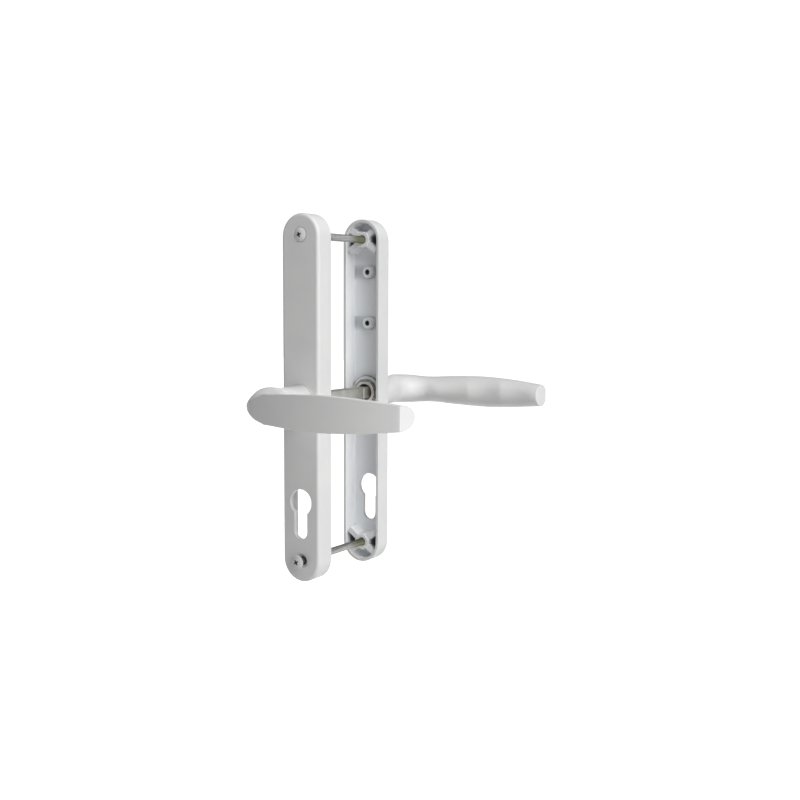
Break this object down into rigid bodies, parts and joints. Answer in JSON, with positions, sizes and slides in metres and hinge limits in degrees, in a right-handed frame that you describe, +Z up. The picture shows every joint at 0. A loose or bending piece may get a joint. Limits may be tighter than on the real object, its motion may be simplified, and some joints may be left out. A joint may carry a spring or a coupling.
{
  "type": "lever door handle set",
  "caption": "Lever handles on long narrow backplates, either side of a door, on one square spindle, with euro-profile cylinder cut-outs and through bolts.",
  "frame": {"origin": "on the spindle axis, half way through the door leaf that the two handles clamp", "axes": "+Z up along the backplates, +Y from the interior handle to the exterior one, +X along both levers at rest"},
  "size_m": [0.127, 0.2024, 0.243],
  "materials": {
    "white_paint": "white polyester powder coat, satin",
    "nylon": "off-white nylon, as moulded",
    "spring_steel": "blackened spring steel",
    "zinc_steel": "drawn steel, zinc plated",
    "yellow_zinc": "zinc plated steel, yellow-green passivate"
  },
  "bodies": {
    "plates": {"interior_backplate": "white_paint", "exterior_backplate": "white_paint", "interior_bush": "nylon", "exterior_bush": "nylon", "interior_return_spring": "spring_steel", "exterior_return_spring": "spring_steel", "top_bolt": "yellow_zinc", "bottom_bolt": "yellow_zinc"},
    "interior_handle": {"interior_lever": "white_paint", "interior_grub_screw": "zinc_steel", "interior_thrust_washer": "spring_steel", "interior_spring_driver": "zinc_steel", "interior_wave_washer": "zinc_steel", "interior_circlip": "spring_steel", "spindle": "zinc_steel"},
    "exterior_handle": {"exterior_lever": "white_paint", "exterior_grub_screw": "zinc_steel", "exterior_thrust_washer": "spring_steel", "exterior_spring_driver": "zinc_steel", "exterior_wave_washer": "zinc_steel", "exterior_circlip": "spring_steel"}
  },
  "joints": [
    {"name": "interior_lever_turn", "type": "hinge", "parent": "plates", "child": "interior_handle", "pos_m": [0, -0.035, 0], "axis": [0, 1, 0], "range_deg": [-45, 45], "stiffness_Nm_per_rad": 2.5},
    {"name": "exterior_lever_turn", "type": "hinge", "parent": "plates", "child": "exterior_handle", "pos_m": [0, 0.035, 0], "axis": [0, 1, 0], "range_deg": [-45, 45], "stiffness_Nm_per_rad": 2.5}
  ],
  "couplings": [
    {"joint": "exterior_lever_turn", "follows": "interior_lever_turn", "ratio": 1}
  ]
}
